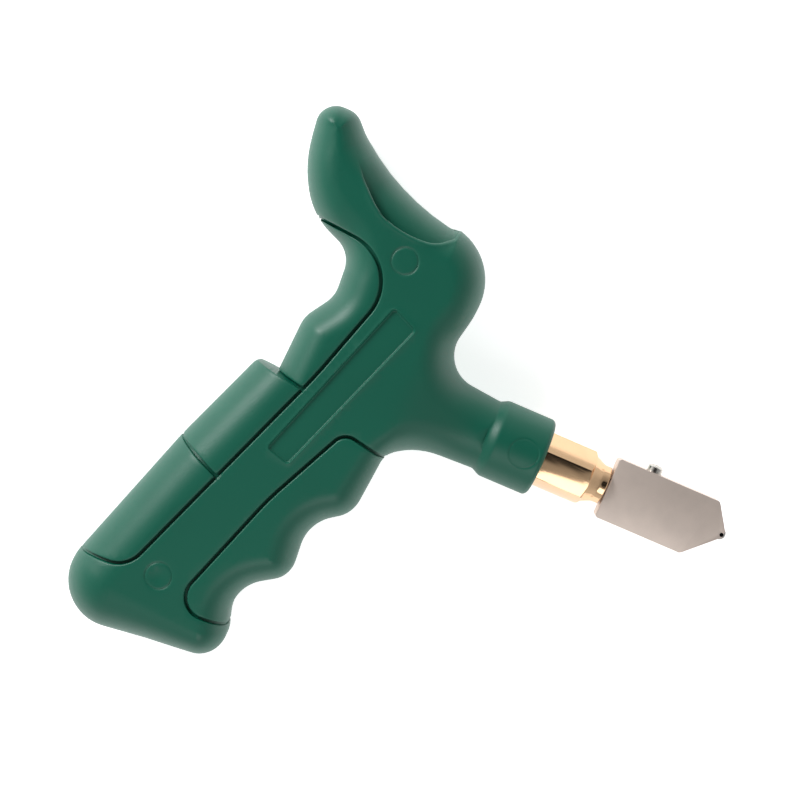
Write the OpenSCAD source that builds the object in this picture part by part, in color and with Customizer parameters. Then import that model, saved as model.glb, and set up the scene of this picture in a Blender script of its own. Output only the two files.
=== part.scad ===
// Pistol-grip glass cutter, lying on its left side.
// +X runs along the shank toward the cutting wheel, +Y toward the thumb horn, +Z out of the right side.
// All positions below are in shank coordinates: the origin is where the shank axis meets
// the back of the steel head, and z = 0 is the plane where the two shells meet.

/* [Handle] */
// Full thickness of the grip across its two flat sides
grip_thickness = 27.5; // [25:0.5:31]
// Diameter of the round collar that holds the brass
collar_d = 20.2; // [19:0.2:24]
// Width of the seams round the grip inserts
seam_w = 0.8; // [0.5:0.1:1.2]
// Depth of the inserts measured in from the edge of the grip
insert_depth = 4.5; // [3.5:0.25:5]

/* [Brass holder] */
// Size of the hexagon across its flats
hex_flats = 12.6; // [11.5:0.1:13.5]
// Diameter of the round tail inside the collar
tail_d = 10; // [9:0.5:11]
// Length of brass hexagon seen outside the collar
hex_out = 12.2; // [9:0.1:16]

/* [Head] */
// Width of the steel head
head_w = 15.8; // [14:0.2:18]
// Thickness of the steel head
head_t = 6.4; // [6:0.2:8]
// Length of the steel head up to its blunt tip
head_l = 31.3; // [28:0.1:36]
// Diameter of the spindle the head turns on
spindle_d = 4; // [3.4:0.1:4.4]
// Diameter of the cutting wheel
wheel_d = 3.2; // [2.8:0.1:4]
// Thickness of the cutting wheel
wheel_t = 1; // [0.8:0.1:1.4]
// Diameter of the wheel's axle
axle_d = 1; // [0.8:0.1:1.2]

/* [Screws] */
// Thread diameter of the shell screws
shell_screw_d = 2.9; // [2.5:0.1:3.2]
// Head diameter of the shell screws
shell_screw_head_d = 5.6; // [5:0.1:6]
// Thread diameter of the head's lock screw
lock_screw_d = 2; // [1.6:0.1:2.5]

/* [Hidden] */

$fn = 48;
half_t = grip_thickness / 2;
collar_r = collar_d / 2;

// Colours
green = "#145f48";
dark_green = "#125540";
brass = "#d9bd86";
steel = "#b0a69e";
nickel = "#c8c8c4";
carbide = "#55585a";

// Where the hexagon's flats end at the front, and where the collar ends round it
hex_end_x = -5.7;
collar_l = 12.4;
collar_end_x = hex_end_x - hex_out;
collar_back_x = collar_end_x - collar_l;
neck_r = collar_r - 1;

// Outlines: each corner is [x, y, radius of the corner, width of the rounded edge there].
// They run clockwise. The handle's outline closes across the root of the neck.
HANDLE = [
    [-103.2, 61.4, 5.4, 4],     // horn tip, back
    [-93.2, 61.4, 5.4, 4],      // horn tip, front
    [-89.8, 56.5, 8, 5.4],      // start of the thumb scoop
    [-76.8, 46.4, 60, 7],       // thumb scoop
    [-46.6, 41.2, 15.5, 7],     // nose
    [-47.9, 24.5, 20, 6.5],     // under the nose
    [-49.6, 14.5, 8, 6],        // neck root, top
    [-50.4, -6.0, 8, 5.5],      // neck root, bottom
    [-54.8, -14.4, 5, 4.5],     // trigger corner
    [-55.8, -30.8, 8, 6],       // first finger ridge
    [-65.1, -37.4, 10.5, 6.5],  // middle finger groove
    [-63.9, -51.4, 6.5, 5.5],   // second finger ridge
    [-76.2, -59.6, 10, 6.5],    // little finger groove
    [-70.8, -77.7, 7, 6],       // butt, front
    [-121.4, -84.7, 12.2, 11],  // butt, back
    [-102.9, -29.9, 60, 11.5],  // back strap
    [-85.9, 12.9, 14, 9.5],     // top of the back strap
    [-81.0, 17.5, 7, 9],        // web
    [-82.0, 28.3, 7, 8],        // under the horn
    [-94.1, 33.2, 18, 7.5],     // horn, back
    [-101.1, 44.4, 30, 6.5]     // horn, back
];
// Edges of the two upper back inserts, as paths of the same kind of corner
UPPER_BACK = [[-90.2, -60, 1, 7], [-86.2, 9.3, 8, 7], [-81.2, 17.0, 8, 8], [-82.0, 28.3, 7, 8],
              [-94.1, 33.2, 18, 7.5], [-110, 60, 1, 7.5]];
MIDDLE_BACK = [[-104.9, -35, 1, 11.5], [-85.9, 12.9, 1, 10]];
// The lower back insert and the finger insert keep the handle's own edge
LOWER_BACK = [HANDLE[14], HANDLE[15], HANDLE[16]];
FINGER_EDGE = [for (i = [13:-1:7]) HANDLE[i]];
// Seams of the back inserts and of the finger insert, as rounded paths
BACK_SEAM = [[-98, 33.7, 1], [-67.2, 31, 12], [-77.6, -2.2, 60], [-101.6, -63.7, 8], [-122, -66.5, 1]];
FINGER_SEAM = [[-44, -16.5, 1], [-65.8, -12.4, 4], [-76.4, -34.7, 60], [-88.2, -68.4, 5.5], [-60, -68.4, 1]];
// Seams across the back strap, as [start, end]
TOP_SEAM = [[-98, -3.8], [-78.6, -6.7]];
LOW_SEAM = [[-108, -27.27], [-88.6, -35.27]];

// Screw bosses: where the heads sit in the left shell, and how far the tips reach into the right one
grip_bosses = [[-68.7, 31.7], [-93.7, -62.7]];
collar_boss_x = collar_end_x - 5.3;
boss_wall = 1.7;
boss_d = shell_screw_head_d + 2 * boss_wall;
grip_seat_z = half_t - 7.75;
grip_tip_z = half_t - 4.75;
collar_seat_z = collar_r - 3.1;
collar_tip_z = collar_r - 2.7;
screw_head_h = 1.9;
screw_well_gap = 0.5;
// Hollow cells between the ribs, as rounded outlines
CELLS = [
    [[-95.5, 54, 1.5], [-91.5, 52, 1.5], [-85, 45.5, 2], [-88.5, 40.5, 2], [-94.5, 44, 2]],
    [[-81.5, 43, 2], [-69.5, 40.6, 1], [-69.5, 33, 1], [-79.5, 37, 2]],
    [[-67.9, 40.3, 1], [-56.5, 38.2, 5], [-54.5, 22.5, 2], [-67.9, 22.5, 2]],
    [[-68.8, 20.2, 2], [-57, 20.2, 2], [-57.2, 6.3, 1], [-71.6, 6.3, 1]],
    [[-72.4, 4.5, 1], [-57.2, 4.5, 1], [-57.5, -8.5, 3], [-66, -9.2, 3], [-74.7, -3.5, 2]],
    [[-75.7, -6, 2], [-67.8, -11, 2], [-77.2, -32.5, 2], [-83.8, -29.8, 2]],
    [[-84.7, -32.2, 2], [-78.5, -35.4, 2], [-86.4, -56.5, 2], [-93.1, -55, 2]],
    [[-95.5, -58, 1], [-91.5, -58.7, 1], [-91.6, -70.5, 3], [-79, -71.8, 1.5], [-80, -75.2, 1.5],
     [-101, -77.7, 3], [-108, -73, 3], [-108, -67.8, 1.5], [-100, -66.8, 3]]
];
side_wall = 2.6;
cell_top = half_t - side_wall;

// Brass holder
nose_x = -0.5;
nose_r = hex_flats / 2 - 1.35;
cone_x = -2.5;
shoulder_x = hex_end_x + 0.6;
shoulder_r = hex_flats / 2 - 0.05;
chamfer_x = hex_end_x - 0.2;
hex_corner_r = hex_flats / 2 / cos(30);
hex_turn = 9.5;
hex_seat = 2.2;
holder_end_x = collar_end_x - 14.1;
spindle_in = 13;
brass_gap = 0.06;

// Steel head
head_top = head_w / 2;
upper_bevel_x = head_l - 4;
lower_bevel_x = head_l - 8.1;
wheel_x = head_l - 0.45;
wheel_y = 0.4;
slot_back_x = wheel_x - wheel_d / 2 - 0.35;
running_gap = 0.04;
socket_end_x = 14.4;
spindle_out = 14;
lock_x = 9.5;
flat_y = spindle_d / 2 - 0.8;
flat_l = lock_screw_d + 0.8;
lock_head_d = 2 * lock_screw_d;
lock_head_h = 2;

function unit(v) = v / norm(v);
function left(v) = [-v.y, v.x];
function cross_z(a, b) = a.x * b.y - a.y * b.x;

// Points round one corner c of a path that comes from a and goes to b
function corner(a, c, b, step = 14) =
    let (p = [c.x, c.y],
         u = unit([a.x, a.y] - p), v = unit([b.x, b.y] - p),
         turn = 180 - acos(max(-1, min(1, u * v))),
         side = cross_z(-u, v) > 0 ? 1 : -1,
         cut = c[2] * tan(turn / 2),
         hub = p + u * cut + side * left(-u) * c[2],
         count = max(1, ceil(turn / step)))
    [for (i = [0:count])
        let (swing = side * turn * i / count, r = p + u * cut - hub)
        [each hub + [r.x * cos(swing) - r.y * sin(swing), r.x * sin(swing) + r.y * cos(swing)],
         each (len(c) > 3 ? [c[3]] : [])]];

// A closed outline, or an open path that keeps its two end points, with its corners rounded
function rounded(path, closed = true, step = 14) =
    let (n = len(path))
    [for (i = [0:n - 1])
        if (closed || (i > 0 && i < n - 1))
            each corner(path[(i + n - 1) % n], path[i], path[(i + 1) % n], step)
        else [path[i].x, path[i].y, each (len(path[i]) > 3 ? [path[i][3]] : [])]];

// The inward direction at each point of a clockwise outline
function inward(pts) =
    let (n = len(pts))
    [for (i = [0:n - 1])
        let (a = pts[(i + n - 1) % n], b = pts[i], c = pts[(i + 1) % n],
             u = unit([b.x - a.x, b.y - a.y]), v = unit([c.x - b.x, c.y - b.y]), w = unit(u + v))
        -left(w) / max(0.5, w * v)];

// How far a rounded edge of width e reaches down from the flat side
function rise(e) = min(half_t - 0.6, 2 + 1.15 * e);

// A point on the rounded edge at outline point p, where turn goes from the wall (0) to the flat side (90)
function edge_point(p, inward, turn, side) =
    let (q = [p.x, p.y] + inward * p[2] * (1 - cos(turn)))
    [q.x, q.y, side * (half_t - rise(p[2]) * (1 - sin(turn)))];

// The faces of a tube of rings of n points each. It is open at both ends, or it closes on itself.
function tube_faces(rings, n, closed = false) =
    [for (k = [0:rings - (closed ? 1 : 2)], i = [0:n - 1])
        let (j = (i + 1) % n, a = k * n, b = ((k + 1) % rings) * n) each [
            [a + i, a + j, b + i],
            [a + j, b + j, b + i]
        ]];

// Half of a slab, z > 0, with the edge round its flat side rounded over
module half_slab(outline, levels = 5) {
    pts = rounded(outline);
    difference() {
        linear_extrude(half_t) polygon([for (p = pts) [p.x, p.y]]);
        edge_cutter(pts, levels);
    }
}

// A closed tube round the slab that cuts its rounded edge. The first and the last facet
// run on a little past the wall and the flat side.
module edge_cutter(pts, levels, past = 0.3, out = 1.5) {
    dir = inward(pts);
    n = len(pts);
    function along(a, b, t) = a + (b - a) * t;
    function ring(k) = [for (i = [0:n - 1]) edge_point(pts[i], dir[i], 90 * k / levels, 1)];
    low = [for (i = [0:n - 1]) along(ring(0)[i], ring(1)[i], -past)];
    high = [for (i = [0:n - 1]) along(ring(levels - 1)[i], ring(levels)[i], 1 + past)];
    rings = [
        [for (i = [0:n - 1]) [high[i].x, high[i].y, half_t + out]],
        high,
        each [for (k = [levels - 1:-1:1]) ring(k)],
        low,
        [for (i = [0:n - 1]) [each [pts[i].x, pts[i].y] - dir[i] * out, low[i].z]],
        [for (i = [0:n - 1]) [each [pts[i].x, pts[i].y] - dir[i] * out, half_t + out]]
    ];
    polyhedron(
        points = [for (r = rings) each r],
        faces = tube_faces(len(rings), n, closed = true));
}

// A bar with the same rounded edge along a path that climbs in y, and a flat back at x = back_x
module edge_bar(path, back_x = -55, levels = 6) {
    pts = rounded(path, closed = false);
    m = len(pts);
    along = [for (i = [0:m - 1])
        let (a = pts[max(0, i - 1)], b = pts[min(m - 1, i + 1)]) unit([b.x - a.x, b.y - a.y])];
    rings = [for (i = [0:m - 1]) [
        [back_x, pts[i].y, half_t],
        for (k = [levels:-1:0]) edge_point(pts[i], -left(along[i]), 90 * k / levels, 1),
        for (k = [0:levels]) edge_point(pts[i], -left(along[i]), 90 * k / levels, -1),
        [back_x, pts[i].y, -half_t]
    ]];
    n = len(rings[0]);
    polyhedron(
        points = [for (r = rings) each r],
        faces = [
            for (i = [1:n - 2]) [0, i + 1, i],
            for (i = [1:n - 2]) let (o = (m - 1) * n) [o, o + i, o + i + 1],
            each tube_faces(m, n)
        ]);
}

// Half of the neck: round at the collar, widening and flattening into the grip
neck_start_x = collar_back_x - 0.2;
neck_xs = [neck_start_x, for (x = [-34, -37, -40, -43, -45.5, -47.5, -50, -53, -57])
    if (x < neck_start_x - 1) x];
function neck_top(x) = x > -41 ? neck_r + 0.09 * (-33 - x) * (x < -33 ? 1 : 0)
    : 18.3 - sqrt(8.5 * 8.5 - pow(min(7.9, abs(x + 40.3)), 2));
function neck_bottom(x) = -neck_r - pow(max(0, -42 - x), 2) / 28;
function neck_height(x) = min(half_t - 0.1, neck_r + pow(max(0, -36 - x), 2) / 56);
function neck_power(x) = 2 + 1.6 * max(0, min(1, (-36 - x) / 18));
module half_neck(sides = 20) {
    m = sides + 1;
    function section(x) =
        let (t = neck_top(x), b = neck_bottom(x), h = neck_height(x), p = 2 / neck_power(x))
        [for (i = [0:sides])
            let (a = 180 * i / sides, c = cos(a), s = sin(a))
            [x, (t + b) / 2 + (t - b) / 2 * sign(c) * pow(abs(c), p), h * pow(abs(s), p)]];
    rings = [for (x = neck_xs) section(x)];
    last = len(rings) - 1;
    polyhedron(
        points = [for (r = rings) each r],
        faces = [
            [for (i = [sides:-1:0]) i],
            [for (i = [0:sides]) last * m + i],
            for (k = [0:last - 1]) each [
                [k * m, (k + 1) * m, (k + 1) * m + sides],
                [k * m, (k + 1) * m + sides, k * m + sides],
                for (i = [0:sides - 1]) each [
                    [k * m + i, k * m + i + 1, (k + 1) * m + i],
                    [k * m + i + 1, (k + 1) * m + i + 1, (k + 1) * m + i]
                ]
            ]
        ]);
}

// A strip of width w along a path of points
module strip(pts, w) {
    n = len(pts);
    side = [for (i = [0:n - 1])
        left(unit(pts[min(i + 1, n - 1)] - pts[max(i - 1, 0)])) * w / 2];
    polygon([for (i = [0:n - 1]) pts[i] + side[i], for (i = [n - 1:-1:0]) pts[i] - side[i]]);
}

module through(h = 60) {
    translate([0, 0, -h / 2]) linear_extrude(h) children();
}

module back_region() {
    polygon([each rounded(BACK_SEAM, false), [-130, -66.5], [-130, 33.7]]);
}

module finger_region() {
    polygon([each rounded(FINGER_SEAM, false), [-44, -68.4]]);
}

module seams() {
    strip(rounded(BACK_SEAM, false), seam_w);
    strip(rounded(FINGER_SEAM, false), seam_w);
}

// Parts of the back strap: above, between and below the two cross seams
module above_top_seam() {
    polygon([TOP_SEAM[0] + [0, seam_w / 2], TOP_SEAM[1] + [0, seam_w / 2],
             [-60, TOP_SEAM[1].y], [-60, 60], [-110, 60]]);
}
module below_top_seam() {
    polygon([TOP_SEAM[0] - [0, seam_w / 2], TOP_SEAM[1] - [0, seam_w / 2],
             [-70, TOP_SEAM[1].y], [-60, -90], [-130, -90], [-130, 0]]);
}
module above_low_seam() {
    polygon([LOW_SEAM[0] + [0, seam_w / 2], LOW_SEAM[1] + [0, seam_w / 2], [-60, LOW_SEAM[1].y],
             [-60, 60], [-130, 60]]);
}
module below_low_seam() {
    polygon([LOW_SEAM[0] - [0, seam_w / 2], LOW_SEAM[1] - [0, seam_w / 2],
             [-70, LOW_SEAM[1].y], [-60, -90], [-130, -90], [-130, -20]]);
}

// The core of the shells that the inserts sit on, seen from the side
core_half_z = half_t - 5.25;
module grip_core() {
    pts = rounded(HANDLE);
    dir = inward(pts);
    edge = rounded(UPPER_BACK, closed = false);
    difference() {
        polygon([for (i = [0:len(pts) - 1]) [pts[i].x, pts[i].y] + dir[i] * insert_depth]);
        above_top_seam();
    }
    intersection() {
        polygon([for (p = edge) [p.x + insert_depth, p.y], [-55, 60], [-55, -60]]);
        above_top_seam();
    }
}

// A grip insert: its bar (the first child) inside its own area (the second), less the core under it
module insert() {
    difference() {
        intersection() {
            children(0);
            through() difference() {
                children(1);
                seams();
            }
        }
        through(2 * core_half_z) grip_core();
    }
}

module insert_areas() {
    back_region();
    finger_region();
    seams();
}

// One half of the handle with z > 0, before its screws are cut
module half_shell() {
    difference() {
        union() {
            difference() {
                union() {
                    half_slab(HANDLE);
                    half_neck();
                }
                through() insert_areas();
            }
            linear_extrude(core_half_z) intersection() {
                grip_core();
                union() insert_areas();
            }
            intersection() {
                collar();
                translate([-60, -20, 0]) cube([60, 40, 20]);
            }
        }
        translate([0, 0, -1]) linear_extrude(cell_top + 1) difference() {
            for (cell = CELLS) polygon(rounded(cell));
            for (b = grip_bosses) translate(b) circle(d = boss_d);
        }
    }
}

// The round collar, with softened ends
module collar() {
    edge = 1.2;
    rotate([0, 90, 0]) rotate_extrude($fn = 64) polygon([
        [0, collar_end_x - 0.3], [collar_r - edge - 1.5, collar_end_x],
        for (a = [90:-15:0])
            [collar_r - edge + edge * cos(a), collar_end_x - edge + edge * sin(a)],
        [collar_r, collar_back_x], [neck_r - 0.1, collar_back_x - 2.8], [0, collar_back_x - 2.8]
    ]);
}

// Space in the collar for the brass: a short hexagon and a round bore. The hexagon is turned,
// so each shell cuts it in place instead of mirroring it.
module holder_space() {
    along_x(collar_end_x - hex_seat - brass_gap, collar_end_x + 5)
        rotate(hex_turn) circle(hex_corner_r + brass_gap, $fn = 6);
    along_x(holder_end_x - 0.4, collar_end_x) circle(tail_d / 2 + brass_gap);
}

// Extrudes a shape drawn across the shank from x = from to x = to
module along_x(from, to) {
    translate([from, 0, 0]) rotate([90, 0, 90]) linear_extrude(to - from) children();
}

module screw_cuts(at, seat_z, tip_z) {
    translate([at.x, at.y, -40]) cylinder(h = 40 - seat_z, d = shell_screw_head_d + screw_well_gap);
    translate([at.x, at.y, -seat_z - 1]) cylinder(h = seat_z + tip_z + 1, d = shell_screw_d);
}

module all_screw_cuts() {
    for (b = grip_bosses) screw_cuts(b, grip_seat_z, grip_tip_z);
    screw_cuts([collar_boss_x, 0], collar_seat_z, collar_tip_z);
}

// The handle lies on z = 0 with the whole cutter centred over the origin
outline = rounded(HANDLE);
centre = [(min([for (p = outline) p.x]) + wheel_x + wheel_d / 2) / 2,
          (min([for (p = outline) p.y]) + max([for (p = outline) p.y])) / 2];
module placed() {
    translate([-centre.x, -centre.y, half_t]) children();
}

module right_shell() color(green) placed() difference() {
    half_shell();
    holder_space();
    all_screw_cuts();
}

module left_shell() color(green) placed() difference() {
    mirror([0, 0, 1]) half_shell();
    holder_space();
    all_screw_cuts();
}

module upper_back_insert() color(dark_green) placed() insert() {
    edge_bar(UPPER_BACK);
    intersection() { back_region(); above_top_seam(); }
}

module middle_back_insert() color(dark_green) placed() insert() {
    edge_bar(MIDDLE_BACK);
    intersection() { back_region(); below_top_seam(); above_low_seam(); }
}

module lower_back_insert() color(dark_green) placed() insert() {
    edge_bar(LOWER_BACK);
    intersection() { back_region(); below_low_seam(); }
}

module finger_insert() color(dark_green) placed() insert() {
    mirror([1, 0, 0]) edge_bar([for (p = FINGER_EDGE) [-p.x, p.y, p[2], p[3]]], back_x = 95);
    finger_region();
}

// A self-tapping screw driven from the left side, with a cross recess
module shell_screw(seat_z, tip_z) {
    point_l = 1.2;
    slot_w = 0.8;
    difference() {
        union() {
            translate([0, 0, -seat_z]) cylinder(h = seat_z + tip_z - point_l, d = shell_screw_d);
            translate([0, 0, tip_z - point_l]) cylinder(h = point_l, d1 = shell_screw_d, d2 = 1);
            translate([0, 0, -seat_z - screw_head_h]) cylinder(h = screw_head_h, d = shell_screw_head_d);
        }
        for (a = [0, 90]) rotate(a)
            translate([-shell_screw_head_d / 4, -slot_w / 2, -seat_z - screw_head_h - 1])
                cube([shell_screw_head_d / 2, slot_w, 2.1]);
    }
}

module grip_screws() color(nickel) placed()
    for (b = grip_bosses) translate([b.x, b.y, 0]) shell_screw(grip_seat_z, grip_tip_z);

module collar_screw() color(nickel) placed()
    translate([collar_boss_x, 0, 0]) shell_screw(collar_seat_z, collar_tip_z);

module brass_holder() color(brass) placed() difference() {
    union() {
        intersection() {
            along_x(collar_end_x - hex_seat, nose_x) rotate(hex_turn) circle(hex_corner_r, $fn = 6);
            rotate([0, 90, 0]) rotate_extrude() polygon([
                [0, collar_end_x - hex_seat], [hex_corner_r + 0.2, collar_end_x - hex_seat],
                [hex_corner_r + 0.2, chamfer_x], [shoulder_r, shoulder_x], [nose_r + 0.1, cone_x],
                [nose_r, cone_x + 0.5], [nose_r, nose_x - 0.2], [nose_r - 0.2, nose_x], [0, nose_x]
            ]);
        }
        along_x(holder_end_x, collar_end_x - hex_seat + 1) circle(tail_d / 2);
    }
    along_x(-spindle_in - 0.6, 1) circle(spindle_d / 2);
    translate([collar_boss_x, 0, -20]) cylinder(h = 40, d = shell_screw_d + 0.3);
}

module swivel_spindle() color(steel) placed() difference() {
    rotate([0, 90, 0]) rotate_extrude() polygon([
        [0, -spindle_in], [spindle_d / 2 - 0.4, -spindle_in], [spindle_d / 2, -spindle_in + 0.4],
        [spindle_d / 2, spindle_out - 0.4], [spindle_d / 2 - 0.4, spindle_out], [0, spindle_out]
    ]);
    translate([lock_x - flat_l / 2, flat_y, -spindle_d]) cube([flat_l, spindle_d, 2 * spindle_d]);
}

module head_body() color(steel) placed() difference() {
    translate([0, 0, -head_t / 2]) linear_extrude(head_t) polygon([
        [0.5, -head_top], [0, -head_top + 0.5], [0, head_top - 0.5], [0.5, head_top],
        [upper_bevel_x - 0.3, head_top], [upper_bevel_x + 0.2, head_top - 0.5],
        [head_l, 1.6], [head_l, -0.1], [lower_bevel_x + 0.3, -head_top + 0.4],
        [lower_bevel_x - 0.3, -head_top]
    ]);
    along_x(-1, socket_end_x) circle(spindle_d / 2 + running_gap);
    translate([lock_x, 0, 0]) rotate([-90, 0, 0]) cylinder(h = head_w, d = lock_screw_d + 0.08);
    translate([slot_back_x, -10, -wheel_t / 2 - 0.08]) cube([10, 20, wheel_t + 0.16]);
    translate([wheel_x, wheel_y, -10]) cylinder(h = 20, d = axle_d);
}

// Pan-head lock screw on the upper edge of the head, its tip just off the spindle's flat
module lock_screw() color(nickel) placed() translate([lock_x, 0, 0]) rotate([-90, 0, 0]) {
    difference() {
        union() {
            translate([0, 0, flat_y + 0.5]) cylinder(h = head_top - flat_y, d = lock_screw_d);
            translate([0, 0, head_top + 0.05]) cylinder(h = lock_head_h - 0.5, d = lock_head_d);
            translate([0, 0, head_top + lock_head_h - 0.45])
                rotate_extrude() polygon([[0, 0], [lock_head_d / 2, 0], [lock_head_d / 2 - 0.5, 0.5], [0, 0.5]]);
        }
        for (a = [0, 90]) rotate(a)
            translate([-0.55 * lock_screw_d, -0.3, head_top + lock_head_h - 0.95])
                cube([1.1 * lock_screw_d, 0.6, 2]);
    }
}

module wheel_axle() color(carbide) placed()
    translate([wheel_x, wheel_y, -head_t / 2 - 0.15]) cylinder(h = head_t + 0.3, d = axle_d);

// The wheel has a sharp rim ground from both sides
module cutting_wheel() color(steel) placed() translate([wheel_x, wheel_y, 0]) {
    bore_r = axle_d / 2 + running_gap;
    rotate_extrude() polygon([
        [bore_r, -wheel_t / 2], [wheel_d / 2 - 0.35, -wheel_t / 2], [wheel_d / 2, -0.04],
        [wheel_d / 2, 0.04], [wheel_d / 2 - 0.35, wheel_t / 2], [bore_r, wheel_t / 2]
    ]);
}

right_shell();
left_shell();
upper_back_insert();
middle_back_insert();
lower_back_insert();
finger_insert();
grip_screws();
collar_screw();
brass_holder();
swivel_spindle();
head_body();
lock_screw();
wheel_axle();
cutting_wheel();
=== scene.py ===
"""The looks of a pistol-grip glass cutter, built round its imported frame."""

import math

import bmesh
import bpy
import numpy as np
from mathutils import Matrix, Vector
from mathutils.geometry import delaunay_2d_cdt


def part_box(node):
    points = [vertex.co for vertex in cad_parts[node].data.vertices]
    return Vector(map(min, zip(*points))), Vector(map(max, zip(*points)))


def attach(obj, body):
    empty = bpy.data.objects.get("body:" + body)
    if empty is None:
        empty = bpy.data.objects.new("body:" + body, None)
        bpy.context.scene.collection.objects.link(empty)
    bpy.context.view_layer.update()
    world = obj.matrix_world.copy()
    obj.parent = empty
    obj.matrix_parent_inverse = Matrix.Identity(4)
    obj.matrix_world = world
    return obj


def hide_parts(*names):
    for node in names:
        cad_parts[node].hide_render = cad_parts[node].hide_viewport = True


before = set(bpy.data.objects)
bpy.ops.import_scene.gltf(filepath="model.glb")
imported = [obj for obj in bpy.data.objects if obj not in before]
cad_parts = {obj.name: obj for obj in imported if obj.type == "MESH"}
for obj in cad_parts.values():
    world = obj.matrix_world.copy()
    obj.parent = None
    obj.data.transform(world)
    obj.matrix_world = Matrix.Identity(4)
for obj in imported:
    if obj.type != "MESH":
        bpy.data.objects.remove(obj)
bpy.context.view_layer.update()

bl_info = {
    "name": "Glass cutter",
    "version": (1, 0, 0),
    "blender": (4, 5, 0),
    "location": "3D View > Sidebar > Glass cutter",
    "description": "Builds a glass cutter: moulded handle, brass holder, steel head and screws",
    "category": "Add Mesh",
}

# Shank coordinates, in millimetres: the origin is where the shank axis meets the back of the
# steel head, +X points at the cutting wheel, and z = 0 is where the two shells meet.
MM = 0.001
HEAD_LOW, HEAD_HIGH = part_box("head_body")
ORIGIN = np.array([HEAD_LOW.x, (HEAD_LOW.y + HEAD_HIGH.y) / 2, (HEAD_LOW.z + HEAD_HIGH.z) / 2])
HEAD_W = (HEAD_HIGH.y - HEAD_LOW.y) / MM
SHELL_LOW, SHELL_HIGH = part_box("right_shell")
HALF_T = (SHELL_HIGH.z - SHELL_LOW.z) / MM
COLLAR_END = (SHELL_HIGH.x - ORIGIN[0]) / MM
COLLAR_R = 10.1
COLLAR_BACK = -30.3
COLLAR_EDGE = 1.3
NECK_R = COLLAR_R - 1.0
NECK_BACK = -57.0
# The brass: its hexagon, its round tail, and how deep the hexagon sits in the collar
HEX_FLATS = 12.6
HEX_TURN = 9.5
HEX_SEAT = 2.2
TAIL_R = 5.0
BRASS_GAP = 0.06
# Distances from the parting plane, inside the handle
CELL_ROOF = HALF_T - 2.6
SCOOP_CELL_ROOF = CELL_ROOF - 2.2
LEDGE_Z = HALF_T - 5.25
LEDGE_CELL_ROOF = LEDGE_Z - 3.5
GRIP_SEAT_Z = HALF_T - 7.75
GRIP_TIP_Z = HALF_T - 4.75
COLLAR_SEAT_Z = COLLAR_R - 3.1
COLLAR_TIP_Z = COLLAR_R - 2.7
# How far the inserts reach in from the outline, their gap to the ledge, and the seams' depth
INSERT_DEPTH = 4.5
INSERT_GAP = 0.02
SEAM_DEPTH = 1.9

# Corners of the handle's outline, clockwise: [x, y, corner radius, width of the rounded edge]
BACK_STRAP = [[-121.4, -84.7, 12.2, 12.0], [-102.9, -29.9, 60, 12.0]]
OUTLINE = [
    [-102.9, 60.4, 5.2, 6.0],
    [-93.6, 60.4, 5.2, 6.0],
    [-89.8, 56.5, 8, 7.5],
    [-76.8, 46.4, 60, 8.5],
    [-60.6, 43.6, 4, 8.5],
    [-59.4, 44.2, 3, 8.5],
    [-46.6, 41.2, 15, 8.5],
    [-47.5, 25.6, 20, 8.0],
    [-50.3, 10.8, 8.5, 8.8],
    [-33.4, 9.1, 6, NECK_R],
    [-27.0, 9.1, 0.2, NECK_R],
    [-27.0, -9.1, 0.2, NECK_R],
    [-33.4, -9.1, 6, NECK_R],
    [-46.8, -9.6, 20, 8.8],
    [-54.3, -14.0, 5, 6.0],
    [-55.8, -30.8, 8, 7.0],
    [-65.1, -37.4, 10.5, 7.5],
    [-63.9, -51.4, 6.5, 7.0],
    [-76.2, -59.6, 10, 7.5],
    [-70.8, -77.7, 7, 7.0],
    *BACK_STRAP,
    [-92.9, -4.9, 1.6, 11.0],
    [-86.9, -5.9, 0.2, 8.0],
    [-86.2, 9.3, 8, 8.0],
    [-81.2, 17.0, 8, 8.5],
    [-82.0, 28.3, 7, 8.5],
    [-94.1, 33.2, 18, 8.5],
    [-101.1, 44.4, 30, 8.0],
]
# The same outline with the notch in the back filled, and with it run on down the back
NOTCH = len(OUTLINE) - 7
BELOW_NOTCH = [*OUTLINE[:NOTCH], [-85.9, 12.9, 14, 10.5], *OUTLINE[NOTCH + 3:]]
ABOVE_NOTCH = [*OUTLINE[:NOTCH - 2], [-89.6, -60, 12, 8.0], *OUTLINE[NOTCH + 2:]]
# Seams round the grip inserts, as [x, y, corner radius], and two straight ones between them
BACK_SEAM = [[-98, 33.7, 1], [-67.2, 31, 12], [-77.6, -2.2, 60], [-101.6, -63.7, 8], [-122, -66.5, 1]]
FINGER_SEAM = [[-44, -16.5, 1], [-65.8, -12.4, 4], [-76.4, -34.7, 60], [-88.2, -68.4, 5.5],
               [-60, -68.4, 1]]
TOP_SEAM = [[-98, -3.8], [-78.6, -6.7]]
LOW_SEAM = [[-108, -27.27], [-88.6, -35.27]]
# Rim of the thumb scoop, and the plain recess in the side of the grip
SCOOP_RIM = [[-88.6, 49.6, 1], [-85.6, 46.0, 6], [-79.6, 40.4, 20], [-73.2, 37.6, 25], [-63.6, 38.2, 8],
             [-59.6, 41.6, 1], [-58.6, 46.5, 1]]
LABEL = [[-66.5, 20.2, 0.9], [-59.7, 17.3, 0.9], [-75.5, -24.8, 0.9], [-81.6, -23.1, 0.9]]
GRIP_BOSSES = [[-68.7, 31.7], [-93.7, -62.7]]
COLLAR_BOSS_X = -23.2
# The screw bosses in the shells, their wells and bores, and the ring marks over them
BOSS_R = 4.5
WELL_R = 3.05
BORE_R = 1.45
RING_R = 3.3
COLLAR_RING_R = 3.6
RING_WIDTH = 0.22
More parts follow.
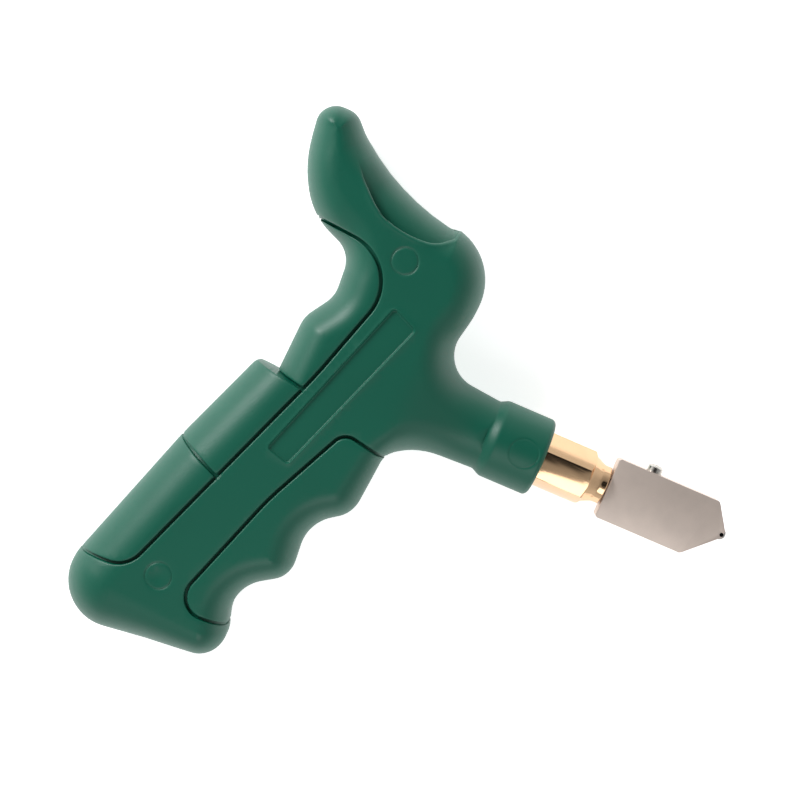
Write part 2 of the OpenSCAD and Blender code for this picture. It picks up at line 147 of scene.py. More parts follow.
# The screws, by the names of the screw rule's inputs, and where the lock screw stands
SHELL_SCREW = {"Thread radius": 1.45, "Length": 15.0, "Pitch": 1.1, "Head radius": 2.8,
               "Head height": 1.9, "Crown radius": 3.2, "Recess width": 0.8}
LOCK_SCREW = {"Thread radius": 1.0, "Length": 6.2, "Pitch": 0.4, "Head radius": 2.0,
              "Head height": 1.95, "Crown radius": 2.6, "Recess width": 0.55}
LOCK_X = 9.5
# Hollow cells between the ribs inside each shell
CELLS = [
    [[-95.5, 54, 1.5], [-91.5, 52, 1.5], [-85, 45.5, 2], [-88.5, 40.5, 2], [-94.5, 44, 2]],
    [[-81.5, 43, 2], [-69.5, 40.6, 1], [-69.5, 33, 1], [-79.5, 37, 2]],
    [[-67.9, 40.3, 1], [-56.5, 38.2, 5], [-54.5, 22.5, 2], [-67.9, 22.5, 2]],
    [[-68.8, 20.2, 2], [-57, 20.2, 2], [-57.2, 6.3, 1], [-71.6, 6.3, 1]],
    [[-72.4, 4.5, 1], [-57.2, 4.5, 1], [-57.5, -8.5, 3], [-66, -9.2, 3], [-74.7, -3.5, 2]],
    [[-75.7, -6, 2], [-67.8, -11, 2], [-77.2, -32.5, 2], [-83.8, -29.8, 2]],
    [[-84.7, -32.2, 2], [-78.5, -35.4, 2], [-86.4, -56.5, 2], [-93.1, -55, 2]],
]


def size_property(name, description, default, low, high):
    """A size that a user may change, in millimetres."""
    return bpy.props.FloatProperty(
        name=name, description=description, default=default, min=low, max=high)


class CutterSizes(bpy.types.PropertyGroup):
    """Sizes that a user may change, in millimetres"""

    seam_width: size_property("Seam width", "Gap round the grip inserts", 0.8, 0.5, 1.2)
    lip: size_property("Seam lip", "Radius of the rounded lip of each seam", 0.4, 0.1, 0.6)
    scoop_depth: size_property("Thumb scoop", "Depth of the thumb scoop below the side", 2.9, 0, 3)
    label_depth: size_property("Side recess", "Depth of the plain recess", 0.6, 0, 1)
    spacing: size_property("Mesh spacing", "Distance between points on the handle", 0.9, 0.5, 3)
    edge_break: size_property("Edge break", "Bevel on the steel's sharp edges", 0.16, 0.02, 0.3)


def colour_property(name, description, code):
    """A colour that a user may change, given as an sRGB hex code."""
    return bpy.props.FloatVectorProperty(
        name=name, description=description, default=linear(code), size=3, min=0, max=1, subtype="COLOR")


def linear(code):
    """An sRGB hex colour as linear red, green and blue."""
    parts = [int(code[i:i + 2], 16) / 255 for i in (1, 3, 5)]
    return tuple(c / 12.92 if c <= 0.04045 else ((c + 0.055) / 1.055) ** 2.4 for c in parts)


class CutterColours(bpy.types.PropertyGroup):
    """Colours that a user may change"""

    plastic: colour_property("Plastic", "Green of the moulded handle", "#005c48")
    brass: colour_property("Brass", "Turned brass", "#eac49b")
    steel: colour_property("Steel", "Satin steel of the head", "#ebddd3")
    nickel: colour_property("Nickel", "Bright screws", "#cfccc6")
    floor: colour_property("Floor", "Pale studio floor", "#f2f2f2")


# ------------ outlines


def unit(v):
    return v / np.linalg.norm(v)


def unit_rows(v):
    return v / np.linalg.norm(v, axis=1)[:, None]


def rounded(path, closed=True, step=5.0):
    """Points along a path whose corners are [x, y, radius, ...], with the corners rounded."""
    points = []
    for i, c in enumerate(path):
        rest = list(c[3:])
        if not closed and i in (0, len(path) - 1):
            points.append([c[0], c[1], *rest])
            continue
        corner = np.array(c[:2], float)
        u = unit(np.array(path[i - 1][:2], float) - corner)
        v = unit(np.array(path[(i + 1) % len(path)][:2], float) - corner)
        turn = math.pi - math.acos(max(-1.0, min(1.0, float(u @ v))))
        side = 1 if (-u[0] * v[1] + u[1] * v[0]) > 0 else -1
        start = corner + u * c[2] * math.tan(turn / 2)
        hub = start + side * c[2] * np.array([u[1], -u[0]])
        count = max(1, math.ceil(math.degrees(turn) / step))
        for k in range(count + 1):
            s, r = side * turn * k / count, start - hub
            points.append([hub[0] + r[0] * math.cos(s) - r[1] * math.sin(s),
                           hub[1] + r[0] * math.sin(s) + r[1] * math.cos(s), *rest])
    return np.array(points)


def spaced(points, gap, closed=False):
    """The same path with points added where they are further apart than gap."""
    ends = np.roll(points, -1, 0) if closed else points[1:]
    out = []
    for a, b in zip(points, ends):
        n = max(1, math.ceil(np.linalg.norm(b[:2] - a[:2]) / gap))
        out += [a + (b - a) * k / n for k in range(n)]
    if not closed:
        out.append(points[-1])
    return np.array(out)


def nearest(points, line, closed=False):
    """The distance from each point to a path, and the path's third value at the nearest spot."""
    a = line if closed else line[:-1]
    b = np.roll(line, -1, 0) if closed else line[1:]
    along = b[:, :2] - a[:, :2]
    length2 = np.maximum((along ** 2).sum(1), 1e-12)
    distance, value = np.zeros(len(points)), np.zeros(len(points))
    for at in range(0, len(points), 2000):
        p = points[at:at + 2000, None, :2] - a[None, :, :2]
        t = np.clip((p * along).sum(2) / length2, 0, 1)
        d2 = ((p - t[..., None] * along) ** 2).sum(2)
        best = d2.argmin(1)
        rows = np.arange(len(best))
        distance[at:at + 2000] = np.sqrt(d2[rows, best])
        if line.shape[1] > 2:
            value[at:at + 2000] = (a[:, 2] + (b[:, 2] - a[:, 2]) * t)[rows, best]
    return distance, value


def inside(points, polygon):
    """Whether each point is inside a polygon."""
    odd = np.zeros(len(points), bool)
    ends = np.roll(polygon, -1, 0)
    for a, b in zip(polygon, ends):
        cross = (a[1] > points[:, 1]) != (b[1] > points[:, 1])
        if a[1] != b[1]:
            odd ^= cross & (points[:, 0] < (b[0] - a[0]) * (points[:, 1] - a[1]) / (b[1] - a[1]) + a[0])
    return odd


def circle(middle, radius, count):
    """Points spaced evenly round a circle."""
    a = np.linspace(0, 2 * math.pi, count, endpoint=False)
    return np.stack([middle[0] + radius * np.cos(a), middle[1] + radius * np.sin(a)], 1)


def beside(line, offset):
    """The path moved sideways by offset, to its left."""
    along = np.gradient(line[:, :2], axis=0)
    along /= np.linalg.norm(along, axis=1)[:, None]
    return line[:, :2] + offset * np.stack([-along[:, 1], along[:, 0]], 1)


def smooth(t):
    """0 below 0, 1 above 1, and an even curve between."""
    t = np.clip(t, 0, 1)
    return t * t * (3 - 2 * t)


# ------------ the handle's shape


class Handle:
    """The plan of the handle's side: one fine triangulation that all its pieces share."""

    def __init__(self, sizes):
        self.sizes = sizes
        self.edge = self.outline(OUTLINE)
        self.lower_edge, self.upper_edge = self.outline(BELOW_NOTCH), self.outline(ABOVE_NOTCH)
        self.back_seam = spaced(rounded(BACK_SEAM, False), sizes.spacing)
        self.finger_seam = spaced(rounded(FINGER_SEAM, False), sizes.spacing)
        self.top_seam = spaced(np.array(TOP_SEAM, float), sizes.spacing)
        self.low_seam = spaced(np.array(LOW_SEAM, float), sizes.spacing)
        self.rim = spaced(rounded(SCOOP_RIM, False), sizes.spacing)
        self.label = spaced(rounded(LABEL, step=20), 0.35, closed=True)
        self.cells = [spaced(rounded(c, step=15), 0.4, closed=True) for c in CELLS]
        # Closed areas behind the back seam, in front of the finger seam, and over the scoop's rim
        self.back_area = np.vstack([self.back_seam, [[-130, -66.5], [-130, 33.7]]])
        self.finger_area = np.vstack([self.finger_seam, [[-44, -68.4]]])
        self.scoop_area = np.vstack([self.rim, [[-40, 90], [-58.6, 73.6]]])
        self.triangulate()
        self.classify()
        self.heighten()

    def outline(self, corners, reach=7):
        """A closed outline, along which the width of the rounded edge changes smoothly."""
        edge = spaced(rounded(corners), self.sizes.spacing, closed=True)
        weights = np.hanning(2 * reach + 3)[1:-1]
        padded = np.concatenate([edge[-reach:, 2], edge[:, 2], edge[:reach, 2]])
        edge[:, 2] = np.convolve(padded, weights / weights.sum(), mode="valid")
        return edge

    def side_height(self, points):
        """Height of the handle's side above the parting plane."""
        d, e = nearest(points, self.lower_edge, closed=True)
        above = points[:, 1] > np.interp(points[:, 0], *np.array(TOP_SEAM).T)
        d[above], e[above] = nearest(points[above], self.upper_edge, closed=True)
        # Towards the collar the side gets lower, and its edge turns into a round neck
        near_neck = smooth((24 - np.abs(points[:, 1])) / 9)
        into_neck = points[:, 0] - NECK_BACK
        top = HALF_T - (HALF_T - NECK_R) * smooth(into_neck / 22) * near_neck
        wall = 1 - smooth(into_neck / 12) * near_neck
        drop = np.minimum(HALF_T - 0.6, 2 + 1.15 * e)
        drop = drop * wall + top * (1 - wall)
        t = np.clip(d / e, 0, 1)
        return top - drop * (1 - np.sqrt(np.maximum(0, 1 - (1 - t) ** 2)))

    def lipped(self, distance):
        """How far a rounded lip drops at this distance from its edge."""
        r = self.sizes.lip
        t = np.clip(1 - distance / r, 0, 1)
        return r * (1 - np.sqrt(np.maximum(0, 1 - t ** 2)))

    def seam_distance(self, points):
        """Distance to the nearest seam's middle line."""
        d = np.minimum(nearest(points, self.back_seam)[0], nearest(points, self.finger_seam)[0])
        cross = np.minimum(nearest(points, self.top_seam)[0], nearest(points, self.low_seam)[0])
        return np.minimum(d, np.where(self.in_back(points), cross, 99))

    def in_back(self, points):
        """Whether each point is behind the back seam."""
        return inside(points, self.back_area)

    def fixed_lines(self):
        """The lines that triangles must keep, each with whether it is closed, and loose points
        close to them, where the surface bends most."""
        half, lip = self.sizes.seam_width / 2, self.sizes.lip
        lines, loose = [(self.edge[:, :2], True)], []
        for seam in (self.back_seam, self.finger_seam, self.top_seam, self.low_seam):
            for side in (1, -1):
                lines.append((beside(seam, side * half), False))
                loose += [beside(seam, side * (half + lip * k)) for k in (0.08, 0.3, 0.6, 1.0)]
        lines.append((self.rim[:, :2], False))
        for side in (1, -1):
            loose += [beside(self.rim, side * k) for k in (0.04, 0.16, 0.4, 0.65, 0.9, 1.3)]
        for offset in (-0.5, -0.38, -0.26, -0.13, 0.0, 0.13, 0.26, 0.38, 0.5):
            loose.append(beside(self.label, offset))
        lines += [(c, True) for c in self.cells]
        for radius in (2.8, 3.15, RING_R, 3.45, 3.6, 3.9):
            loose += [circle(b, radius, 40) for b in GRIP_BOSSES]
        lines += [(circle(b, radius, 32), True) for b in GRIP_BOSSES for radius in (WELL_R, BORE_R)]
        loose = np.vstack(loose)
        return lines, loose[inside(loose, self.edge) & (nearest(loose, self.edge, True)[0] > 0.12)]

    def free_points(self):
        """Points over the rest of the side, clear of the fixed lines."""
        # Rings inside the outline, closer together where the edge is steeper
        inward = np.roll(self.edge[:, :2], -1, 0) - np.roll(self.edge[:, :2], 1, 0)
        inward = unit_rows(np.stack([inward[:, 1], -inward[:, 0]], 1))
        rings = []
        for angle in np.radians(np.arange(9, 91, 9)):
            reach = self.edge[:, 2] * (1 - math.cos(angle))
            ring = self.edge[:, :2] + inward * reach[:, None]
            d, _ = nearest(ring, self.edge, closed=True)
            rings.append(ring[d > 0.93 * reach])
        # A staggered grid over the flat inside of those rings
        xs, ys = np.arange(-125, -25, 2.0), np.arange(-82, 62, 1.75)
        grid = np.array([[x + (k % 2), y] for k, y in enumerate(ys) for x in xs])
        d, e = nearest(grid, self.edge, closed=True)
        grid = grid[inside(grid, self.edge) & (d > 0.96 * e)]
        free = np.vstack(rings + [grid])
        clear = self.seam_distance(free) > self.sizes.seam_width / 2 + 1.4 * self.sizes.lip + 0.1
        clear &= (nearest(free, self.rim)[0] > 1.5) & (nearest(free, self.label, True)[0] > 0.75)
        for b in GRIP_BOSSES:
            r = np.linalg.norm(free - b, axis=1)
            for radius, gap in ((RING_R, 0.8), (WELL_R, 0.4), (BORE_R, 0.4)):
                clear &= np.abs(r - radius) > gap
        for c in self.cells:
            clear &= nearest(free, c, True)[0] > 0.4
        return free[clear]

    def triangulate(self):
        """Joins the lines and points into triangles that face up."""
        lines, loose = self.fixed_lines()
        coords, edges = [], []
        for points, closed in lines:
            at = len(coords)
            coords += [tuple(p[:2]) for p in points]
            n = len(points)
            edges += [(at + i, at + (i + 1) % n) for i in range(n if closed else n - 1)]
        coords += [tuple(p) for p in np.vstack([loose, self.free_points()])]
        made = delaunay_2d_cdt([Vector(c) for c in coords], edges, [], 0, 1e-4, False)
        self.points = np.array([[v.x, v.y] for v in made[0]])
        triangles = np.array([f for f in made[2] if len(f) == 3])
        a, b, c = (self.points[triangles[:, k]] for k in range(3))
        area = (b[:, 0] - a[:, 0]) * (c[:, 1] - a[:, 1]) - (b[:, 1] - a[:, 1]) * (c[:, 0] - a[:, 0])
        triangles[area < 0] = triangles[area < 0][:, ::-1]
        middle = (a + b + c) / 3
        keep = inside(middle, self.edge) & (np.abs(area) > 1e-9)
        self.triangles, self.middle = triangles[keep], middle[keep]

    def classify(self):
        """Says which piece each triangle belongs to, and what lies under it."""
        m = self.middle
        seam = self.seam_distance(m) < self.sizes.seam_width / 2
        back, finger = self.in_back(m), inside(m, self.finger_area)
        above = m[:, 1] > np.interp(m[:, 0], *np.array(TOP_SEAM).T)
        below = m[:, 1] < np.interp(m[:, 0], *np.array(LOW_SEAM).T)
        self.part = np.full(len(m), "shell", dtype="<U8")
        self.part[back & above] = "upper"
        self.part[back & ~above & ~below] = "middle"
        self.part[back & below] = "lower"
        self.part[finger] = "finger"
        self.part[seam] = "seam"
        from_edge = nearest(m, self.edge, True)[0]
        self.core, self.off_edge = from_edge > INSERT_DEPTH, from_edge > 0.3
        self.cell = np.zeros(len(m), bool)
        for c in self.cells:
            self.cell |= inside(m, c)
        self.bore, self.well = np.zeros(len(m), bool), np.zeros(len(m), bool)
        for b in GRIP_BOSSES:
            r = np.linalg.norm(m - b, axis=1)
            self.bore |= r < BORE_R * 0.999
            self.well |= r < WELL_R * 0.999
            self.cell &= r > BOSS_R
        self.scoop = inside(m, self.scoop_area)

    def heighten(self):
        """Gives each point the heights of the faces that may lie over it."""
        p = self.points
        self.side = self.side_height(p)
        self.top = self.side - self.lipped(self.seam_distance(p) - self.sizes.seam_width / 2)
        # Faint rings over the screw bosses, and a dimple in the lowest one
        for b in GRIP_BOSSES:
            r = np.linalg.norm(p - b, axis=1)
            self.top -= 0.17 * np.exp(-((r - RING_R) / RING_WIDTH) ** 2)
        d = np.linalg.norm(p - GRIP_BOSSES[1], axis=1)
        self.top -= 0.25 * smooth((3.0 - d) / 2)
        # The thumb scoop starts shallow at the horn. On the right side its rim has a low bead
        along = unit(np.array([7.0, -6.5]))
        fade = smooth(((p - self.rim[0, :2]) @ along) / 9.0)
        rim = nearest(p, self.rim)[0]
        self.scoop_drop = self.sizes.scoop_depth * fade
        outside = ~inside(p, self.scoop_area) | (rim < 0.02)
        self.face_top = self.top - self.lipped(rim) * fade * outside
        self.bare_top = self.face_top.copy()
        self.face_top += 0.16 * np.exp(-((rim - 0.65) / 0.35) ** 2) * fade * outside
        # The plain recess, on the right side only, also has a low bead round it
        label_edge = nearest(p, self.label, True)[0] * np.where(inside(p, self.label), 1, -1)
        self.face_top -= self.sizes.label_depth * smooth(0.5 + label_edge / 0.45)
        self.face_top += 0.1 * np.exp(-((label_edge + 0.35) / 0.2) ** 2)


class Solid:
    """Collects faces by the places of their corners, so that shared corners become one vertex."""

    def __init__(self):
        self.index, self.places, self.faces = {}, [], []

    def vertex(self, x, y, z):
        key = (round(x, 4), round(y, 4), round(z, 4))
        if key not in self.index:
            self.index[key] = len(self.places)
            self.places.append((x, y, z))
        return self.index[key]

    def face(self, corners):
        ids = [self.vertex(*c) for c in corners]
        ids = [v for k, v in enumerate(ids) if v != ids[k - 1]]
        if len(ids) >= 3 and len(set(ids)) == len(ids):
            self.faces.append(ids)


def terraced(plan, groups, side=1, mirrored=False):
    """A solid over some of the plan's triangles. Each group is (triangle mask, top, bottom), where top
    and bottom give a height for each plan point. A bottom of None is open at z = 0."""
    solid, edge_of = Solid(), {}
    for mask, top, bottom in groups:
        for tri in plan.triangles[mask]:
            low = np.zeros(3) if bottom is None else bottom[tri]
            high = np.maximum(top[tri], low)
            xy = plan.points[tri]
            for turn in ((1, -1) if mirrored else (side,)):
                upper = [(xy[k, 0], xy[k, 1], turn * high[k]) for k in range(3)]
                solid.face(upper[::turn])
                if bottom is not None:
                    lower = [(xy[k, 0], xy[k, 1], turn * low[k]) for k in range(3)]
                    solid.face(lower[::-turn])
            for k in range(3):
                a, b = int(tri[k]), int(tri[(k + 1) % 3])
                n = (k + 1) % 3
                edge_of.setdefault((min(a, b), max(a, b)), []).append(
                    (a, b, high[k], high[n], low[k], low[n]))
    for uses in edge_of.values():
        if len(uses) == 1:
            uses.append((uses[0][1], uses[0][0], None, None, None, None))
        (a, b, ta, tb, la, lb), (_, _, ub, ua, mb, ma) = uses
        pa, pb = plan.points[a], plan.points[b]
        spans = [(la, lb, ta, tb)] if ua is None else [(ua, ub, ta, tb), (la, lb, ma, mb)]
        for turn in ((1, -1) if mirrored else (side,)):
            for low_a, low_b, high_a, high_b in spans:
                solid.face([(*pa, turn * low_a), (*pb, turn * low_b),
                            (*pb, turn * high_b), (*pa, turn * high_a)][::turn])
    return solid


# ------------ pieces


def mesh_from(name, places, faces):
    """A mesh from points in shank coordinates, merged and facing outwards."""
    mesh = bpy.data.meshes.new(name)
    mesh.from_pydata([tuple(ORIGIN + np.array(p) * MM) for p in places], [], faces)
    tidy_mesh(mesh)
    return mesh


def tidy_mesh(mesh, merge=2e-6):
    """Merges doubles and points every face outwards."""
    bm = bmesh.new()
    bm.from_mesh(mesh)
    bmesh.ops.remove_doubles(bm, verts=bm.verts, dist=merge)
    bmesh.ops.dissolve_degenerate(bm, edges=bm.edges, dist=1e-7)
    bmesh.ops.recalc_face_normals(bm, faces=bm.faces)
    bm.to_mesh(mesh)
    bm.free()


def finish_piece(name, mesh, material, body, nodes, sharp=35.0):
    """Makes a piece of a mesh, sets it on the body it rides on, and hides the nodes it stands for."""
    mesh.materials.clear()
    mesh.materials.append(material)
    mesh.polygons.foreach_set("use_smooth", [True] * len(mesh.polygons))
    mesh.set_sharp_from_angle(angle=math.radians(sharp))
    piece = bpy.data.objects.new(name, mesh)
    bpy.context.scene.collection.objects.link(piece)
    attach(piece, body)
    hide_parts(*nodes)
    return piece


def finer_node(name, node, material, body, break_mm=0.0):
    """A piece from a copy of a CAD node's mesh, with its sharp edges bevelled by break_mm."""
    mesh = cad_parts[node].data.copy()
    bm = bmesh.new()
    bm.from_mesh(mesh)
    bmesh.ops.remove_doubles(bm, verts=bm.verts, dist=2e-6)
    bmesh.ops.dissolve_limit(bm, angle_limit=math.radians(0.5), verts=bm.verts, edges=bm.edges)
    if break_mm:
        edges = [e for e in bm.edges if len(e.link_faces) == 2 and e.calc_face_angle() > math.radians(30)]
        bmesh.ops.bevel(bm, geom=edges, offset=break_mm * MM, segments=2, profile=0.6, affect="EDGES",
                        clamp_overlap=True)
    bmesh.ops.triangulate(bm, faces=bm.faces)
    bm.to_mesh(mesh)
    bm.free()
    return finish_piece(name, mesh, material, body, [node])


def crowned_brass(mesh, crown=0.25):
    """Swells the hexagon's flats a little, as buffing leaves them, so that they show bands."""
    bm = bmesh.new()
    bm.from_mesh(mesh)
    axis = Vector(ORIGIN)
    # Cuts through the axis give each flat enough points to bend
    for angle in np.radians(np.arange(2.5, 180, 5)):
        bmesh.ops.bisect_plane(bm, geom=bm.verts[:] + bm.edges[:] + bm.faces[:], dist=1e-7,
                               plane_co=axis, plane_no=(0, math.sin(angle), -math.cos(angle)))
    bmesh.ops.triangulate(bm, faces=bm.faces)
    half = HEX_FLATS / 2
    for v in bm.verts:
        place = (v.co - axis) / MM
        angle = math.degrees(math.atan2(place.z, place.y))
        turn = math.radians((angle - HEX_TURN) % 60 - 30)
        radius = math.hypot(place.y, place.z)
        out, along = radius * math.cos(turn), radius * math.sin(turn)
        if abs(out - half) < 0.03 and COLLAR_END - HEX_SEAT - 0.05 < place.x < -4:
            face = math.radians(angle) - turn
            push = crown * max(0.0, 1 - (along / (half * math.tan(math.radians(30)))) ** 2) * MM
            v.co += Vector((0, math.cos(face), math.sin(face))) * push
    bm.to_mesh(mesh)
    bm.free()


def collar_half(side):
    """One half of the round collar: a closed shell with the hexagonal seat and the bore in it."""
    bore_r, front = TAIL_R + BRASS_GAP, COLLAR_END - COLLAR_EDGE
    turns = np.radians(np.arange(0, 180.1, 1.25))
    # The outside from the front: face, rounded edge, barrel, and the step down to the neck
    outer = [(COLLAR_END - 0.05, COLLAR_R - COLLAR_EDGE - 1.4)]
    outer += [(front + COLLAR_EDGE * math.sin(a), COLLAR_R - COLLAR_EDGE + COLLAR_EDGE * math.cos(a))
              for a in np.radians(np.arange(90, -1, -10))]
    outer += [(x, COLLAR_R) for x in np.arange(front - 0.2, COLLAR_BACK + 0.3, -0.22)]
    outer += [(COLLAR_BACK - 0.1 * k, COLLAR_R - 1.1 * float(smooth(k / 31))) for k in range(32)]

    def hexagon(a):
        off_middle = (side * math.degrees(a) - HEX_TURN) % 60 - 30
        return HEX_FLATS / 2 / math.cos(math.radians(off_middle)) + BRASS_GAP

    # On the right side a faint ring, and a shallow dish within it, mark the blind screw boss
    places, n = [], len(turns)
    for x, r in outer:
        for a in turns:
            y, z = r * math.cos(a), r * math.sin(a)
            boss = math.hypot(x - COLLAR_BOSS_X, y)
            dip = 0.16 * math.exp(-((boss - COLLAR_RING_R) / RING_WIDTH) ** 2)
            dip += 0.1 * float(smooth((3.5 - boss) / 0.5))
            k = 1 - (dip / r if side > 0 and z > 0 else 0)
            places.append((x, y * k, side * z * k))
    inner = [(COLLAR_BACK - 3.1, lambda a: bore_r), (COLLAR_END - HEX_SEAT, lambda a: bore_r),
             (COLLAR_END - HEX_SEAT, hexagon), (COLLAR_END - 0.3, hexagon),
             (COLLAR_END - 0.05, lambda a: hexagon(a) + 0.3)]
    for x, radius in inner:
        places += [(x, radius(a) * math.cos(a), side * radius(a) * math.sin(a)) for a in turns]
    rings = len(outer) + len(inner)
    faces = []
    for k in range(rings):
        a, b = k * n, (k + 1) % rings * n
        faces += [(a + i, a + i + 1, b + i + 1, b + i) for i in range(n - 1)]
    faces.append([k * n for k in range(rings)])
    faces.append([k * n + n - 1 for k in range(rings)][::-1])
    return places, faces


def drilled(mesh, holes):
    """The mesh with round holes cut along Z: each is (x, y, low z, high z, radius)."""
    base = bpy.data.objects.new("drilled", mesh)
    bpy.context.scene.collection.objects.link(base)
    for x, y, low, high, radius in holes:
        middle = ORIGIN + np.array([x, y, (low + high) / 2]) * MM
        bm = bmesh.new()
        bmesh.ops.create_cone(
            bm, cap_ends=True, segments=40, radius1=radius * MM, radius2=radius * MM,
            depth=(high - low) * MM, matrix=Matrix.Translation(Vector(middle)))
        drill = bpy.data.objects.new("drill", bpy.data.meshes.new("drill"))
        bm.to_mesh(drill.data)
        bm.free()
        cut = base.modifiers.new("cut", "BOOLEAN")
        cut.operation, cut.solver, cut.object = "DIFFERENCE", "EXACT", drill
    made = bpy.data.meshes.new_from_object(base.evaluated_get(bpy.context.evaluated_depsgraph_get()))
    # Removing a drill's mesh removes the drill with it
    for cut in list(base.modifiers):
        bpy.data.meshes.remove(cut.object.data)
    bpy.data.objects.remove(base)
    return made


def shell_solid(plan, side):
    """One shell without its collar: the side face, the thumb scoop and the ledge under the
    inserts. The right one has the plain recess, and the left one the screw wells."""
    face = plan.part == "shell"
    scoop = face & plan.scoop
    tongue = (plan.part == "seam") & plan.off_edge
    ledge = ~face & ~tongue & plan.core
    zero = np.zeros(len(plan.points))
    well = plan.well & face
    cell = plan.cell & ~plan.bore
    plain = face & ~scoop & ~cell
    scoop_top = plan.top - plan.scoop_drop
    tongue_top = plan.side - SEAM_DEPTH
    face_top = plan.face_top if side > 0 else plan.bare_top
    groups = []
    if side < 0:
        groups.append((well & ~plan.bore, zero + GRIP_SEAT_Z, zero))
        plain &= ~well
    else:
        groups.append((plan.bore & face, face_top, zero + GRIP_TIP_Z))
        plain &= ~plan.bore
    groups += [
        (plain, face_top, zero),
        (face & cell & ~scoop, face_top, zero + CELL_ROOF),
        (scoop & ~cell, scoop_top, zero),
        (scoop & cell, scoop_top, zero + SCOOP_CELL_ROOF),
        (tongue, tongue_top, zero),
        (ledge & ~cell, zero + LEDGE_Z, zero),
        (ledge & cell, zero + LEDGE_Z, zero + LEDGE_CELL_ROOF),
    ]
    return terraced(plan, groups, side)


def insert_solid(plan, part):
    """A grip insert: it wraps the core of the shells, and is the same on both sides."""
    mine = plan.part == part
    over_core = np.full(len(plan.points), LEDGE_Z + INSERT_GAP)
    groups = [(mine & plan.core, plan.top, over_core), (mine & ~plan.core, plan.top, None)]
    return terraced(plan, groups, mirrored=True)


# ------------ materials


def add(tree, kind, links=(), **settings):
    """Adds a node with its settings and its linked inputs: (input, output socket)."""
    node = tree.nodes.new(kind)
    for name, value in settings.items():
        if hasattr(node, name):
            setattr(node, name, value)
        else:
            node.inputs[name.replace("_", " ")].default_value = value
    for name, socket in links:
        tree.links.new(node.inputs[name], socket)
    return node


def new_material(name, colour, roughness, metallic=0.0, ior=None):
    """A material with its tree, its shader and the object coordinates, for fine marks to use."""
    material = bpy.data.materials.new(name)
    material.use_nodes = True
    tree = material.node_tree
    shader = tree.nodes["Principled BSDF"]
    shader.inputs["Base Color"].default_value = (*colour, 1)
    shader.inputs["Roughness"].default_value = roughness
    shader.inputs["Metallic"].default_value = metallic
    if ior:
        shader.inputs["IOR"].default_value = ior
    place = add(tree, "ShaderNodeTexCoord").outputs["Object"]
    return material, tree, shader, place


def clouded(tree, place, colour, size_mm, detail, low, high):
    """A colour that drifts between two factors of itself over patches of this size."""
    cloud = add(tree, "ShaderNodeTexNoise", [("Vector", place)], Scale=1 / (size_mm * MM), Detail=detail)
    tint = add(tree, "ShaderNodeMix", [("Factor", cloud.outputs["Fac"])], data_type="RGBA")
    tint.inputs["A"].default_value = (*[c * low for c in colour], 1)
    tint.inputs["B"].default_value = (*[min(1, c * high) for c in colour], 1)
    return tint.outputs["Result"]


def dress(tree, shader, tint, dull, bump):
    """Links a colour, a roughness and a bump to a shader."""
    tree.links.new(shader.inputs["Base Color"], tint)
    tree.links.new(shader.inputs["Roughness"], dull.outputs["Result"])
    tree.links.new(shader.inputs["Normal"], bump.outputs["Normal"])


def spark_textured_plastic(colour):
    """Moulded polypropylene from a spark-eroded mould: a fine dull grain."""
    material, tree, shader, place = new_material("moulded_polypropylene_green", colour, 0.42, ior=1.49)
    grain = add(tree, "ShaderNodeTexNoise", [("Vector", place)],
                Scale=1 / (0.45 * MM), Detail=3.0, Roughness=0.6)
    dull = add(tree, "ShaderNodeMapRange", [("Value", grain.outputs["Fac"])], To_Min=0.37, To_Max=0.5)
    bump = add(tree, "ShaderNodeBump", [("Height", grain.outputs["Fac"])],
               Strength=0.35, Distance=0.04 * MM)
    dress(tree, shader, clouded(tree, place, colour, 22, 2.0, 0.93, 1.07), dull, bump)
    return material


def metal(name, colour, roughness, streak_mm, cross_mm, spread, depth_mm):
    """A bare metal whose fine marks are streak_mm long along X and cross_mm apart across it."""
    material, tree, shader, place = new_material(name, colour, roughness, metallic=1.0)
    scaled = add(tree, "ShaderNodeMapping", [("Vector", place)])
    along, across = 1 / (streak_mm * MM), 1 / (cross_mm * MM)
    scaled.inputs["Scale"].default_value = (along, across, across)
    marks = add(tree, "ShaderNodeTexNoise", [("Vector", scaled.outputs["Vector"])], Scale=1.0, Detail=4.0)
    dull = add(tree, "ShaderNodeMapRange", [("Value", marks.outputs["Fac"])],
               To_Min=roughness - spread, To_Max=roughness + spread)
    bump = add(tree, "ShaderNodeBump", [("Height", marks.outputs["Fac"])],
               Strength=0.4, Distance=depth_mm * MM)
    dress(tree, shader, clouded(tree, place, colour, 5, 3.0, 0.9, 1.08), dull, bump)
    return material


def floor_paint(colour):
    """A matt white acrylic light table: an even pale ground, lit a little from below."""
    material, tree, shader, place = new_material("white_acrylic", colour, 0.9, ior=1.49)
    shader.inputs["Emission Color"].default_value = (1, 1, 1, 1)
    shader.inputs["Emission Strength"].default_value = 0.75
    grain = add(tree, "ShaderNodeTexNoise", [("Vector", place)], Scale=1 / (1.2 * MM), Detail=2.0)
    bump = add(tree, "ShaderNodeBump", [("Height", grain.outputs["Fac"])],
               Strength=0.1, Distance=0.02 * MM)
    tree.links.new(shader.inputs["Normal"], bump.outputs["Normal"])
    return material


